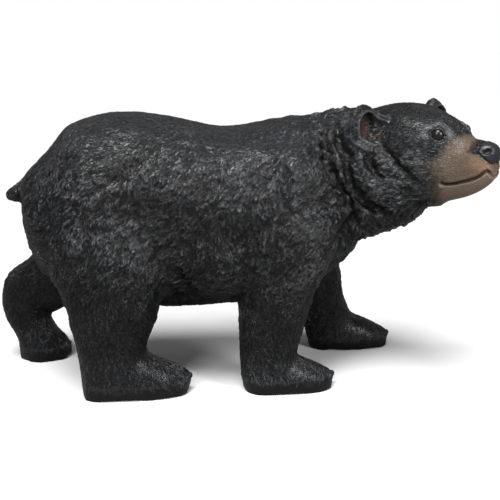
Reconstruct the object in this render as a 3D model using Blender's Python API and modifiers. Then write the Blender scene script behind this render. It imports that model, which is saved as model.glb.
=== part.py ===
# A walking black bear, cast in one piece: a garden sculpture that stands on its four feet.
# It faces +X and stands on the plane Z = 0. Its right side faces -Y, and it looks to its right.

import math
import random

import bmesh
import bpy
import numpy as np
from mathutils import Matrix, Vector
from mathutils.bvhtree import BVHTree

# Driving sizes, in metres
LENGTH = 0.75  # from the raised hock to the nose, along X
MASTER = 750.0  # the forms below are laid out on a bear 750 units long
UNIT = LENGTH / MASTER

# How finely the forms are worked
MASS_VOXEL = 5.5 * UNIT  # body and limbs, while they are blended
FORM_VOXEL = 3.4 * UNIT  # after ears, toes and face are added
MASS_BLEND = 14  # smoothing rounds that soften the joins of limbs and body
FORM_BLEND = 3
RING_SIDES = 28
RING_STEP = 9.0  # units between the rings of a loft
CAP_RINGS = 4
TRIANGLES = 9400  # in the finished solid
SOLE_DEPTH = 16.0  # units that the feet reach below the ground before the soles are cut flat

BLACK_RESIN = (0.030, 0.030, 0.033, 1.0)

# Trunk and neck: place x, y, z of the section's centre, then half width, height above and height below it
TRUNK = [
    (-328, 0, 258, 90, 79, 98),
    (-303, 0, 262, 106, 99, 106),
    (-266, 0, 268, 119, 128, 116),
    (-233, 0, 275, 125, 139, 130),
    (-194, 0, 278, 127, 145, 145),
    (-130, 0, 268, 126, 145, 157),
    (-62, 0, 260, 132, 139, 146),
    (0, 0, 262, 132, 138, 140),
    (60, 0, 272, 126, 139, 134),
    (110, 0, 288, 114, 130, 112),
    (145, -2, 302, 96, 114, 86),
]
NECK = [
    (60, 0, 292, 108, 117, 112),
    (110, -4, 302, 110, 117, 108),
    (150, -14, 312, 108, 113, 100),
    (186, -30, 324, 100, 108, 94),
    (216, -50, 338, 90, 95, 92),
]

# The head has its own axes, from eye level between the ears: a along the muzzle, b to the left and c up
HEAD_AT = Vector((229, -50, 397))
HEAD_TURN = math.radians(-52)
SKULL = [
    (-40, 0, -34, 64, 62, 88),
    (0, 0, -25, 73, 64, 98),
    (30, 0, -22, 72, 62, 100),
    (58, 0, -22, 63, 54, 95),
    (80, 0, -24, 52, 47, 90),
    (98, 0, -28, 42, 39, 84),
    (114, 0, -34, 34, 31, 74),
    (130, 0, -38, 29, 32, 61),
    (148, 0, -40, 26, 34, 46),
    (165, 0, -40, 22, 32, 31),
]

# Limbs, from the body down: place, half width across, reach forward and reach back
HIND_RIGHT = [
    (-232, -52, 305, 56, 74, 74),
    (-228, -72, 250, 62, 84, 86),
    (-222, -84, 200, 61, 80, 92),
    (-218, -92, 160, 55, 71, 80),
    (-216, -97, 133, 50, 66, 74),
    (-222, -99, 105, 46, 60, 66),
    (-224, -100, 80, 43, 55, 53),
    (-222, -100, 50, 42, 52, 52),
    (-220, -100, 20, 41, 48, 49),
    (-219, -100, -8, 39, 42, 46),
]
HIND_LEFT = [
    (-240, 52, 300, 56, 72, 74),
    (-254, 70, 238, 60, 80, 74),
    (-284, 84, 185, 56, 70, 60),
    (-327, 94, 138, 48, 57, 46),
    (-361, 101, 112, 42, 48, 47),
    (-368, 103, 84, 38, 36, 39),
    (-357, 101, 52, 37, 34, 33),
    (-345, 97, 22, 37, 37, 33),
    (-342, 96, -8, 36, 36, 32),
]
FRONT_RIGHT = [
    (58, -50, 310, 54, 70, 74),
    (50, -78, 255, 59, 80, 76),
    (42, -91, 205, 54, 72, 69),
    (33, -97, 160, 48, 55, 62),
    (27, -99, 130, 45, 53, 57),
    (22, -100, 95, 42, 49, 52),
    (18, -100, 62, 40, 43, 47),
    (17, -100, 30, 39, 42, 44),
    (19, -100, -8, 37, 40, 40),
]
FRONT_LEFT = [
    (62, 50, 310, 54, 68, 72),
    (78, 78, 255, 56, 60, 74),
    (99, 91, 205, 52, 50, 65),
    (117, 98, 160, 46, 48, 56),
    (127, 102, 124, 42, 42, 48),
    (137, 104, 80, 39, 40, 44),
    (146, 105, 52, 38, 42, 43),
    (150, 105, 24, 37, 38, 39),
    (153, 105, -8, 35, 36, 37),
]
TAIL = [
    (-306, 0, 316, 18, 20, 30),
    (-336, 0, 304, 17, 18, 22),
    (-358, 0, 297, 15, 14, 17),
    (-375, 0, 292, 11, 9, 11),
]

# Feet: place of the heel, turn about Z, length, width and height of the instep
FEET = {
    "hind_right": dict(heel=(-270, -104), turn=3.0, length=169, width=90, instep=65),
    "hind_left": dict(heel=(-378, 117), turn=-17.0, length=86, width=80, instep=54),
    "front_right": dict(heel=(-20, -103), turn=3.0, length=142, width=86, instep=51),
    "front_left": dict(heel=(121, 104), turn=1.0, length=137, width=82, instep=55),
}
# Sections of a foot: share of its length, of its half width and of the instep's height
FOOT_SECTIONS = [
    (0.04, 0.70, 0.50),
    (0.12, 0.88, 0.80),
    (0.35, 0.97, 1.02),
    (0.58, 1.00, 0.98),
    (0.72, 0.96, 0.82),
    (0.84, 0.83, 0.70),
    (0.93, 0.62, 0.52),
]
TOES = 5
TOE_GROOVE = 5.0  # depth of the grooves between the toes
TOE_GROOVE_WIDTH = 3.6
SOLE_BAND = 19.0  # height of the plain band round each foot

# The right and the left ear's place in the head's axes, their radii and how many degrees they turn out
EARS = {-1: Vector((-11, -77, 6)), 1: Vector((3, 77, 8))}
EAR_RADII = (13, 28.5, 34.5)
EAR_TURN = 12.0
EAR_HOLLOW = 14.0
EAR_HOLLOW_SHIFT = 4.0  # how far the hollow lies towards the middle of the head, which leaves a thick outer rim

# Folds of the heavy coat on the right side: depth, half width and the line that each follows over the skin
FOLDS = [
    (6.0, 7.0, [(125, -76, 401), (124, -96, 382), (137, -111, 358)]),
    (9.5, 8.5, [(103, -84, 388), (109, -109, 347), (120, -116, 317), (131, -116, 293), (145, -107, 262)]),
    (10.0, 8.0, [(130, -109, 358), (141, -118, 316), (158, -119, 295), (197, -111, 269)]),
    (6.5, 9.0, [(178, -118, 371), (162, -120, 360), (171, -125, 339), (188, -128, 320)]),
    (6.0, 9.0, [(184, -116, 376), (204, -132, 347), (222, -140, 331), (240, -143, 319)]),
    (5.0, 8.0, [(137, -108, 263), (130, -99, 232)]),
    (4.0, 12.0, [(-160, -102, 367), (-193, -116, 339), (-227, -121, 319)]),
]
# The spine's place across the bear at places along it: the left side's folds mirror the right's about it
SPINE = [(-342, 0), (60, 0), (110, -4), (150, -14), (186, -30), (216, -50)]

# Locks of the ruff, from the withers over neck and chest to the cheeks
LOCK_LENGTH = 46.0
LOCK_WIDTH = 22.0
LOCK_HEIGHT = 6.5
LOCK_SINK = 0.5  # share of that height by which the skin between the locks lies deeper
LOCK_SEED = 7
FLOW = Vector((0.22, 0, -1))  # how the locks hang at the sides; on the back they lie towards the tail
BACK_FLOW = Vector((-1, 0, -0.25))


def head_matrix():
    """From the head's axes to the bear's, in units."""
    return Matrix.Translation(HEAD_AT) @ Matrix.Rotation(HEAD_TURN, 4, "Z")


def smooth_rows(rows, step):
    """Rows of numbers through the given ones, a step apart, along a smooth curve."""
    at = [0.0]
    for before, after in zip(rows, rows[1:]):
        at.append(at[-1] + math.dist(before[:3], after[:3]))

    def slope(i, column):
        low, high = max(i - 1, 0), min(i + 1, len(rows) - 1)
        return (rows[high][column] - rows[low][column]) / (at[high] - at[low])

    made = []
    for i in range(len(rows) - 1):
        gap = at[i + 1] - at[i]
        count = max(1, round(gap / step))
        for k in range(count):
            t = k / count
            first, last = rows[i], rows[i + 1]
            made.append(
                [
                    (2 * t**3 - 3 * t**2 + 1) * first[c]
                    + (t**3 - 2 * t**2 + t) * gap * slope(i, c)
                    + (3 * t**2 - 2 * t**3) * last[c]
                    + (t**3 - t**2) * gap * slope(i + 1, c)
                    for c in range(len(first))
                ]
            )
    made.append(list(rows[-1]))
    return made


def superellipse(angle, power):
    """A point of the unit superellipse; power 2 is a circle and more is squarer."""
    c, s = math.cos(angle), math.sin(angle)
    return (
        math.copysign(abs(c) ** (2 / power), c),
        math.copysign(abs(s) ** (2 / power), s),
    )


def loft(mesh, sections, place=Matrix.Identity(4), power=2.15, cap=0.5):
    """A closed, round-ended skin over sections: x, y, z, half width, reach up or forward, down or back."""
    rows = smooth_rows(sections, RING_STEP)
    centres = [Vector(row[:3]) for row in rows]
    rings = []

    def ring(centre, along, row, scale):
        side = Vector((0, 1, 0))
        side = (side - side.dot(along) * along).normalized()
        rise = along.cross(side)
        made = []
        for k in range(RING_SIDES):
            across, up = superellipse(2 * math.pi * k / RING_SIDES, power)
            reach = row[4] if up > 0 else row[5]
            point = centre + scale * (side * across * row[3] + rise * up * reach)
            made.append(mesh.verts.new(place @ point))
        return made

    def end(centre, along, row, outward):
        """Rings that close the skin in a rounded cap."""
        made = []
        bulge = cap * min(row[3:6])
        for k in range(1, CAP_RINGS + 1):
            angle = 0.5 * math.pi * k / (CAP_RINGS + 0.35)
            centre_k = centre + outward * bulge * math.sin(angle)
            made.append(ring(centre_k, along, row, math.cos(angle)))
        return made

    for i, row in enumerate(rows):
        before, after = centres[max(i - 1, 0)], centres[min(i + 1, len(rows) - 1)]
        along = (after - before).normalized()
        if i == 0:
            rings += reversed(end(centres[0], along, row, -along))
        rings.append(ring(centres[i], along, row, 1.0))
        if i == len(rows) - 1:
            rings += end(centres[-1], along, row, along)

    for lower, upper in zip(rings, rings[1:]):
        for k in range(RING_SIDES):
            n = (k + 1) % RING_SIDES
            mesh.faces.new((lower[k], lower[n], upper[n], upper[k]))
    mesh.faces.new(list(reversed(rings[0])))
    mesh.faces.new(rings[-1])


def mass(mesh, at, radii, place=Matrix.Identity(4), turn=(0, 0, 0)):
    """An ellipsoid of muscle, toe or bone, turned by degrees about X, Y and Z."""
    rotation = Matrix.Identity(4)
    for axis, degrees in zip("XYZ", turn):
        rotation = Matrix.Rotation(math.radians(degrees), 4, axis) @ rotation
    shape = place @ Matrix.Translation(at) @ rotation @ Matrix.Diagonal((*radii, 1))
    bmesh.ops.create_uvsphere(mesh, u_segments=24, v_segments=14, radius=1, matrix=shape)


def foot_matrix(foot):
    turn = Matrix.Rotation(math.radians(foot["turn"]), 4, "Z")
    return Matrix.Translation((*foot["heel"], 0)) @ turn


def add_foot(mesh, foot):
    """The foot from heel to ball, flat below."""
    length, half, instep = foot["length"], foot["width"] / 2, foot["instep"]
    middle = 0.22 * instep
    sections = [
        (length * along, 0, middle, half * wide, instep * high - middle, middle + SOLE_DEPTH)
        for along, wide, high in FOOT_SECTIONS
    ]
    loft(mesh, sections, foot_matrix(foot), power=2.5, cap=0.35)


def add_toes(mesh, foot):
    """Five toes in an arc, with grooves between them and a claw's stub on each."""
    place = foot_matrix(foot)
    length, half, instep = foot["length"], foot["width"] / 2, foot["instep"]
    spread = 1.34 * half
    for k in range(TOES):
        share = k / (TOES - 1) - 0.5
        across = share * spread
        back = 104 * share**2
        tip = length - 19 - back
        radii = (19, 0.135 * foot["width"], 0.3 * instep + 3)
        mass(mesh, (tip, across, 0.27 * instep), radii, place, (0, 16, -24 * share))
        mass(mesh, (tip + 15, across * 1.04, 0.3 * instep), (7, 3.4, 4.0), place, (0, 40, 0))


def add_ear(mesh, side, place):
    """A round ear that faces forward and outward. Its hollow is pressed in later."""
    mass(mesh, EARS[side], EAR_RADII, place, (0, -6, side * EAR_TURN))
    mass(mesh, (-16, side * 62, -10), (18, 22, 26), place)


def add_cheeks(mesh, place):
    """The broad ruff below the ears and the throat under the jaw."""
    for side in (-1, 1):
        mass(mesh, (42, side * 42, -52), (54, 30, 50), place, (0, 0, side * -14))
    mass(mesh, (62, 0, -70), (44, 40, 50), place, (0, 12, 0))


def add_face(mesh, place):
    """Brows, lips, nose and chin on the skull's loft."""
    for side in (-1, 1):
        mass(mesh, (88, side * 26, 4), (19, 15, 11), place, (0, 12, side * -28))
        mass(mesh, (146, side * 12, -44), (26, 15, 20), place, (0, 4, side * -6))
    mass(mesh, (163, 0, -25), (13, 17, 15), place)
    mass(mesh, (138, 0, -71), (21, 19, 14), place, (0, -10, 0))


def masses():
    """The big forms: trunk, neck, skull, limbs and their muscles."""
    mesh = bmesh.new()
    loft(mesh, TRUNK, cap=0.34)
    loft(mesh, NECK)
    loft(mesh, SKULL, head_matrix(), power=2.3, cap=0.4)
    add_cheeks(mesh, head_matrix())
    for limb in (HIND_RIGHT, HIND_LEFT, FRONT_RIGHT, FRONT_LEFT):
        loft(mesh, limb, power=2.3)
    for foot in FEET.values():
        add_foot(mesh, foot)
    for side in (-1, 1):
        mass(mesh, (50, side * 84, 285), (72, 46, 96), turn=(0, 10, 0))
        mass(mesh, (-235, side * 82, 262), (82, 48, 92), turn=(0, -14, 0))
        mass(mesh, (-60, side * 62, 215), (92, 76, 82))
    mass(mesh, (86, -28, 268), (58, 62, 74), turn=(0, 24, 0))
    mass(mesh, (150, -34, 291), (58, 62, 68), turn=(0, 30, 0))
    mass(mesh, (206, -60, 318), (54, 58, 82), turn=(0, 24, 0))
    return mesh


def press_ear_hollows(skin, normals):
    """Pushes the front of each ear in, within a rim."""
    place = head_matrix()
    moved = np.zeros(len(skin))
    for side, at in EARS.items():
        turn = Matrix.Rotation(math.radians(side * EAR_TURN), 4, "Z")
        own = (place @ Matrix.Translation(at) @ turn).inverted()
        local = skin @ np.array(own.to_3x3()).T + np.array(own.translation)
        across = (local[:, 1] + side * EAR_HOLLOW_SHIFT) / (0.72 * EAR_RADII[1])
        up = (local[:, 2] + 1.5) / (0.72 * EAR_RADII[2])
        inside = np.clip(1 - across**2 - up**2, 0, 1)
        near = (np.abs(local[:, 0]) < 1.6 * EAR_RADII[0]) & (local[:, 0] > 0.1 * EAR_RADII[0])
        facing = normals @ np.array((place @ turn).to_3x3() @ Vector((1, 0, 0)))
        moved += np.where(near, EAR_HOLLOW * np.sqrt(inside) * np.clip(facing * 1.5, 0, 1), 0)
    return moved


def carve_folds(skin, tree):
    """How far each point of the skin sinks into the folds of the coat."""
    depth_at = np.zeros(len(skin))
    for depth, half, line in FOLDS:
        for side in (1, -1):
            points = []
            for x, y, z in line:
                middle = np.interp(x, *zip(*SPINE))
                across = y if side > 0 else 2 * middle - y
                points.append(tree.find_nearest(Vector((x, across, z)) * UNIT)[0] / UNIT)
            lengths = [0.0]
            for p, q in zip(points, points[1:]):
                lengths.append(lengths[-1] + (q - p).length)
            for i, (p, q) in enumerate(zip(points, points[1:])):
                start, run = np.array(p), np.array(q - p)
                t = np.clip((skin - start) @ run / (run @ run), 0, 1)
                gap = np.linalg.norm(skin - start - t[:, None] * run, axis=1)
                share = (lengths[i] + t * (lengths[i + 1] - lengths[i])) / lengths[-1]
                ends = np.sqrt(np.clip(np.sin(np.pi * (0.08 + 0.84 * share)), 0, 1))
                depth_at = np.maximum(depth_at, depth * ends * np.exp(-((gap / half) ** 2)))
    return depth_at


def groove_toes(skin, normals):
    """How far each point sinks into the grooves that part the toes, above the plain band of the sole."""
    sunk = np.zeros(len(skin))
    for foot in FEET.values():
        own = foot_matrix(foot).inverted()
        local = skin @ np.array(own.to_3x3()).T + np.array(own.translation)
        front = np.clip((local[:, 0] - 0.68 * foot["length"]) / (0.18 * foot["length"]), 0, 1)
        here = (local[:, 0] > 0) & (local[:, 0] < 1.1 * foot["length"])
        here &= (np.abs(local[:, 1]) < 0.6 * foot["width"]) & (local[:, 2] < 1.3 * foot["instep"])
        above = np.clip((local[:, 2] - SOLE_BAND) / 4, 0, 1)
        for k in range(1, TOES):
            across = (k / TOES - 0.5) * 0.86 * foot["width"] * (0.8 + 0.2 * front)
            gap = (local[:, 1] - across) / TOE_GROOVE_WIDTH
            sunk = np.maximum(sunk, TOE_GROOVE * front * above * here * np.exp(-(gap**2)))
    return sunk


def ruff_share(skin, normals):
    """1 on the ruff of neck, throat and cheeks, 0 on the smooth skull and the body."""
    own = head_matrix().inverted()
    local = skin @ np.array(own.to_3x3()).T + np.array(own.translation)

    def rise(value, low, high):
        t = np.clip((value - low) / (high - low), 0, 1)
        return t * t * (3 - 2 * t)

    neck = rise(skin[:, 0] + 0.25 * (skin[:, 2] - 300), 88, 118) * rise(skin[:, 2], 185, 215)
    face = rise(local[:, 0], 62, 84)
    crown = rise(local[:, 0], -52, -30) * rise(local[:, 2], -34, -8)
    return neck * (1 - face) * (1 - crown)


def raise_locks(skin, normals):
    """The height of the ruff's locks: teardrops that overlap like shingles and end in a point."""
    share = ruff_share(skin, normals)
    order = list(np.flatnonzero(share > 0.25))
    random.Random(LOCK_SEED).shuffle(order)
    roots = []
    for i in order:
        if all((skin[i] - skin[j]) @ (skin[i] - skin[j]) > (0.72 * LOCK_WIDTH) ** 2 for j in roots):
            roots.append(i)
    height = np.zeros(len(skin))
    chance = random.Random(LOCK_SEED + 1)
    for j in roots:
        normal = Vector(normals[j])
        on_back = max(0.0, normal.z) ** 2
        flow = FLOW.lerp(BACK_FLOW, on_back)
        flow.rotate(Matrix.Rotation(chance.uniform(-0.35, 0.35), 3, normal))
        flow = (flow - flow.dot(normal) * normal).normalized()
        side = normal.cross(flow)
        size = chance.uniform(0.7, 1.15)
        away = skin - skin[j]
        along = away @ np.array(flow) / (LOCK_LENGTH * size) + 0.4
        aside = away @ np.array(side) / (0.5 * LOCK_WIDTH * size)
        off = away @ np.array(normal) / LOCK_WIDTH
        open_ = (along > 0) & (along < 1) & (np.abs(off) < 1)
        taper = np.sqrt(np.clip(np.sin(np.pi * np.clip(along, 0, 1) ** 1.3), 0.02, 1))
        body = np.clip(1 - (aside / taper) ** 2, 0, 1)
        rising = np.clip(along, 0, 1) ** 0.9 * np.clip((1 - along) * 9, 0, 1)
        lock = LOCK_HEIGHT * size * rising * np.sqrt(body)
        height = np.maximum(height, np.where(open_, lock, 0))
    return (height - LOCK_SINK * LOCK_HEIGHT) * share


def carve(thing):
    """Cuts the ears' hollows and the coat's folds and raises the ruff's locks."""
    data = thing.data
    count = len(data.vertices)
    skin = np.empty(3 * count)
    data.vertices.foreach_get("co", skin)
    skin = skin.reshape(count, 3) / UNIT
    normals = np.empty(3 * count)
    data.vertex_normals.foreach_get("vector", normals)
    normals = normals.reshape(count, 3)
    tree = BVHTree.FromPolygons([v.co for v in data.vertices], [p.vertices for p in data.polygons])
    out = raise_locks(skin, normals) - carve_folds(skin, tree)
    out -= press_ear_hollows(skin, normals) + groove_toes(skin, normals)
    skin = (skin + normals * out[:, None]) * UNIT
    data.vertices.foreach_set("co", skin.ravel())
    data.update()


def object_from(mesh, name):
    data = bpy.data.meshes.new(name)
    bmesh.ops.recalc_face_normals(mesh, faces=mesh.faces)
    bmesh.ops.scale(mesh, vec=(UNIT, UNIT, UNIT), verts=mesh.verts)
    mesh.to_mesh(data)
    mesh.free()
    made = bpy.data.objects.new(name, data)
    COLLECTION.objects.link(made)
    return made


def applied(thing):
    """The object's mesh as its modifiers leave it."""
    graph = bpy.context.evaluated_depsgraph_get()
    data = bpy.data.meshes.new_from_object(thing.evaluated_get(graph))
    thing.modifiers.clear()
    thing.data = data


def blend(thing, voxel, rounds):
    """Joins overlapping skins into one and softens the joins."""
    remesh = thing.modifiers.new("one skin", "REMESH")
    remesh.mode = "VOXEL"
    remesh.voxel_size = voxel
    soften = thing.modifiers.new("soften", "SMOOTH")
    soften.factor = 0.5
    soften.iterations = int(rounds)
    applied(thing)


def build():
    bear = object_from(masses(), "bear")
    blend(bear, MASS_VOXEL, MASS_BLEND)

    details = bmesh.new()
    head = head_matrix()
    add_face(details, head)
    for side in (-1, 1):
        add_ear(details, side, head)
    loft(details, TAIL)
    for foot in FEET.values():
        add_toes(details, foot)
    small = object_from(details, "small forms")
    both = bmesh.new()
    both.from_mesh(bear.data)
    both.from_mesh(small.data)
    both.to_mesh(bear.data)
    both.free()
    bpy.data.objects.remove(small)
    blend(bear, FORM_VOXEL, FORM_BLEND)

    carve(bear)
    thin = bear.modifiers.new("fewer faces", "DECIMATE")
    thin.ratio = TRIANGLES / (2 * len(bear.data.polygons))
    applied(bear)

    mesh = bmesh.new()
    mesh.from_mesh(bear.data)
    everything = mesh.verts[:] + mesh.edges[:] + mesh.faces[:]
    bmesh.ops.bisect_plane(mesh, geom=everything, plane_co=(0, 0, 0), plane_no=(0, 0, -1), clear_outer=True)
    bmesh.ops.holes_fill(mesh, edges=[e for e in mesh.edges if e.is_boundary])
    bmesh.ops.triangulate(mesh, faces=[f for f in mesh.faces if len(f.verts) > 4])
    corners = [v.co for v in mesh.verts]
    shift = Vector(
        [-(min(c[i] for c in corners) + max(c[i] for c in corners)) / 2 for i in (0, 1)] + [0]
    )
    bmesh.ops.translate(mesh, vec=shift, verts=mesh.verts)
    mesh.to_mesh(bear.data)
    mesh.free()
    print("shift", tuple(shift))
    bear.data.shade_smooth()

    black = bpy.data.materials.new("black resin")
    black.use_nodes = True
    shader = black.node_tree.nodes["Principled BSDF"]
    shader.inputs["Base Color"].default_value = BLACK_RESIN
    shader.inputs["Roughness"].default_value = 0.45
    bear.data.materials.clear()
    bear.data.materials.append(black)


for old in list(bpy.data.objects):
    bpy.data.objects.remove(old)
COLLECTION = bpy.data.collections.new("bear sculpture")
bpy.context.scene.collection.children.link(COLLECTION)
build()
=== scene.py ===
import math
import random
import time

import bpy
import numpy as np
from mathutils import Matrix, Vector
from mathutils.kdtree import KDTree


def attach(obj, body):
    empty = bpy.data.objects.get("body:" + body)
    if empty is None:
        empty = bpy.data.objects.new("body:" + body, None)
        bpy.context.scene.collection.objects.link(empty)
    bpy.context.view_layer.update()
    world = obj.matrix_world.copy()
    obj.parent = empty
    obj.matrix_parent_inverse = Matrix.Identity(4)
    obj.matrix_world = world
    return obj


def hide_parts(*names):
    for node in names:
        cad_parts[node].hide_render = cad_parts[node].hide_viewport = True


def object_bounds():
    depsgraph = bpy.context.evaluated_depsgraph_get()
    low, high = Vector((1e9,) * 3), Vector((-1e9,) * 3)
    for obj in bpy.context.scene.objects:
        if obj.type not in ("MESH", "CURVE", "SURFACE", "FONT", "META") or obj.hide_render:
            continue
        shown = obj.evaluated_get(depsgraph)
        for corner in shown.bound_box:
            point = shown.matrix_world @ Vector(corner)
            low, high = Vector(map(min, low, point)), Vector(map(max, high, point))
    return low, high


# A walking black bear cast in resin. One skin follows the solid and carries its fur, face, toes and paint.
# Lengths are in mm, laid out as the solid is, from below the shoulders; shift takes them to the frame.
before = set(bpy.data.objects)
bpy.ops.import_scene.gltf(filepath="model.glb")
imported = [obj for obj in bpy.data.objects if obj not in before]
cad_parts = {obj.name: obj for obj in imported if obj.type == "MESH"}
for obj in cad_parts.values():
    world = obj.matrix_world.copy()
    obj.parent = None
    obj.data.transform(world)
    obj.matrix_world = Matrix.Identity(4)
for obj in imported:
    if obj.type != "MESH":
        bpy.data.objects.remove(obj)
boxAtLoad = [[float(v) for v in corner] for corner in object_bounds()]
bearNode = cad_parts["bear"]
bpy.ops.object.select_all(action="DESELECT")
started = time.time()


def stageDone(words):
    print(f"{time.time() - started:6.1f} s  {words}", flush=True)


shift = np.array([30.68, 23.94, 0.0])
headAt = np.array([229.0, -50.0, 397.0])
headTurn = math.radians(-52)


def rise(low, high, value):  # 0 below low, 1 above high and smooth between
    t = np.clip((value - low) / (high - low), 0, 1)
    return t * t * (3 - 2 * t)


def hump(value, at, half):  # 1 at the middle, falling off to both sides
    return np.exp(-(((value - at) / half) ** 2))


def unitRows(rows):
    return rows / np.maximum(np.linalg.norm(rows, axis=1, keepdims=True), 1e-9)


def turned(rows, angle):  # the same rows in axes that are turned about the upright one
    c, s = math.cos(angle), math.sin(angle)
    return np.stack([rows[:, 0] * c + rows[:, 1] * s, rows[:, 1] * c - rows[:, 0] * s, rows[:, 2]], 1)


def inHead(points):  # a along the muzzle, b to the left, c up
    return turned(points - headAt, headTurn)


def fromHead(rows):  # directions of the head's axes to the bear's
    return turned(rows, -headTurn)


def mirrorLeft(local):  # factors that take the left side to the right one, or back again
    return np.where(local[:, 1:2] > 0, (1, -1, 1), (1, 1, 1))


def readPoints(data):
    flat = np.empty(len(data.vertices) * 3, dtype=np.float32)
    data.vertices.foreach_get("co", flat)
    return flat.reshape(-1, 3).astype(float) * 1000 - shift


def writePoints(data, points):
    data.vertices.foreach_set("co", ((points + shift) / 1000).astype(np.float32).ravel())
    data.update()


def readNormals(data):
    flat = np.empty(len(data.vertices) * 3, dtype=np.float32)
    data.vertex_normals.foreach_get("vector", flat)
    return flat.reshape(-1, 3).astype(float)


def gapTo(points, spot):
    return np.linalg.norm(points - spot, axis=1)


def treeOf(points):
    tree = KDTree(len(points))
    for i, point in enumerate(points):
        tree.insert(point, i)
    tree.balance()
    return tree


def gapToLine(points, line):  # distance to a line of straight runs, and the share of the line there
    lengths = [0.0]
    for p, q in zip(line, line[1:]):
        lengths.append(lengths[-1] + float(np.linalg.norm(np.subtract(q, p))))
    gaps = np.full(len(points), 1e6)
    shares = np.zeros(len(points))
    for i, (p, q) in enumerate(zip(line, line[1:])):
        start, run = np.array(p, float), np.subtract(q, p).astype(float)
        t = np.clip((points - start) @ run / (run @ run), 0, 1)
        gap = np.linalg.norm(points - start - t[:, None] * run, axis=1)
        nearer = gap < gaps
        gaps = np.where(nearer, gap, gaps)
        shares = np.where(nearer, (lengths[i] + t * (lengths[i + 1] - lengths[i])) / lengths[-1], shares)
    return gaps, shares


def fadeEnds(share, margin):  # 1 along a line and nearly 0 at its ends
    return np.sqrt(np.clip(np.sin(np.pi * (margin + (1 - 2 * margin) * share)), 0, 1))


def gapToOutline(x, y, outline):  # distance to a closed outline, less than 0 inside
    flat = np.stack([x, y], 1)
    gaps, _ = gapToLine(flat, list(outline) + [outline[0]])
    inside = np.zeros(len(x), bool)
    for (x1, y1), (x2, y2) in zip(outline, list(outline[1:]) + [outline[0]]):
        if y1 != y2:
            crossing = x1 + (y - y1) * (x2 - x1) / (y2 - y1)
            inside ^= ((y1 > y) != (y2 > y)) & (x < crossing)
    return np.where(inside, -gaps, gaps)


# The skin's mesh.
skinSizes = {
    "voxel": 1.6,  # mm between points on the body
    "softening": 6,  # rounds that take the solid's facets out
    "triangles": 195000,
    "faceRoom": 1.1,  # how much the head is enlarged while the mesh is thinned, so that it keeps more points
    "roomAt": (128.0, 0.0, -30.0),
    "roomReach": 75,
    "faceFrom": 72,  # the part of the head whose faces are split once
    "faceTop": 34,
    "faceBottom": -112,
    "eyeReach": 17,  # around each eye and on the nose they are split again
    "noseFrom": 146,
    "noseBottom": -62,
    "clearance": 0.02,  # kept inside the solid's box
    "flatSole": 1.0,  # what lies lower than this lies on the floor
}


def applyAll(thing):
    bpy.context.view_layer.objects.active = thing
    for modifier in list(thing.modifiers):
        bpy.ops.object.modifier_apply(modifier=modifier.name)


def splitFaces(thing, chosen):  # each chosen face becomes four
    bpy.context.view_layer.objects.active = thing
    bpy.ops.object.mode_set(mode="EDIT")
    bpy.ops.mesh.select_mode(type="FACE")
    bpy.ops.mesh.select_all(action="DESELECT")
    bpy.ops.object.mode_set(mode="OBJECT")
    thing.data.polygons.foreach_set("select", chosen)
    bpy.ops.object.mode_set(mode="EDIT")
    bpy.ops.mesh.subdivide(number_cuts=1)
    bpy.ops.object.mode_set(mode="OBJECT")


def faceCentres(data):
    flat = np.empty(len(data.polygons) * 3, dtype=np.float32)
    data.polygons.foreach_get("center", flat)
    return flat.reshape(-1, 3).astype(float) * 1000 - shift


def startSkin():
    skin = bpy.data.objects.new("bearSkin", bearNode.data.copy())
    bpy.context.scene.collection.objects.link(skin)
    skin.data.materials.clear()
    skin.select_set(True)
    bpy.context.view_layer.objects.active = skin
    bpy.ops.object.mode_set(mode="EDIT")
    bpy.ops.mesh.select_all(action="SELECT")
    bpy.ops.mesh.remove_doubles(threshold=0.00001)
    bpy.ops.object.mode_set(mode="OBJECT")
    rounder = skin.modifiers.new("rounder", "SUBSURF")
    rounder.levels = rounder.render_levels = 2
    oneSkin = skin.modifiers.new("oneSkin", "REMESH")
    oneSkin.mode = "VOXEL"
    oneSkin.voxel_size = skinSizes["voxel"] / 1000
    soften = skin.modifiers.new("soften", "SMOOTH")
    soften.factor = 0.5
    soften.iterations = skinSizes["softening"]
    applyAll(skin)
    stageDone(f"skin of {len(skin.data.vertices)} points")
    local = inHead(faceCentres(skin.data))
    face = (local[:, 0] > skinSizes["faceFrom"]) & (local[:, 2] < skinSizes["faceTop"])
    splitFaces(skin, face & (local[:, 2] > skinSizes["faceBottom"]))
    local = inHead(faceCentres(skin.data))
    eyes = np.zeros(len(local), bool)
    for side in (-1, 1):
        eyes |= np.linalg.norm(local - np.array(eyeAt) * (1, -side, 1), axis=1) < skinSizes["eyeReach"]
    nose = (local[:, 0] > skinSizes["noseFrom"]) & (local[:, 2] > skinSizes["noseBottom"])
    splitFaces(skin, eyes | nose)
    stageDone(f"face in {len(skin.data.vertices)} points")
    return skin


# The face, in the head's axes, with the right side's numbers. The left side mirrors it.
eyeAt = (95.8, -38.4, -2.4)
eyeSizes = {
    "ball": 11.5,
    "proud": 3.4,  # how far the ball stands out of the socket
    "halfWidth": 10.3,
    "upper": 9.3,
    "lower": 7.2,
    "lid": 1.7,
    "lidReach": 3.4,
    "step": 0.7,  # from the ball up to the lid's edge
    "crease": 2.3,
    "creaseAt": 3.9,
    "browLift": 1.3,
    "browAt": 7.4,
    "pouch": 1.0,  # the hollow below the lower lid
    "pouchAt": 4.4,
    "reach": 16,
}
farAway = 50.0  # stands for the gap of a point that is nowhere near
eyeAlong = np.array([0.852, 0.449, -0.269])  # from the outer to the inner corner
eyeOut = np.array([0.466, -0.882, 0.0])
eyeUp = np.cross(eyeOut, eyeAlong)


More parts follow.
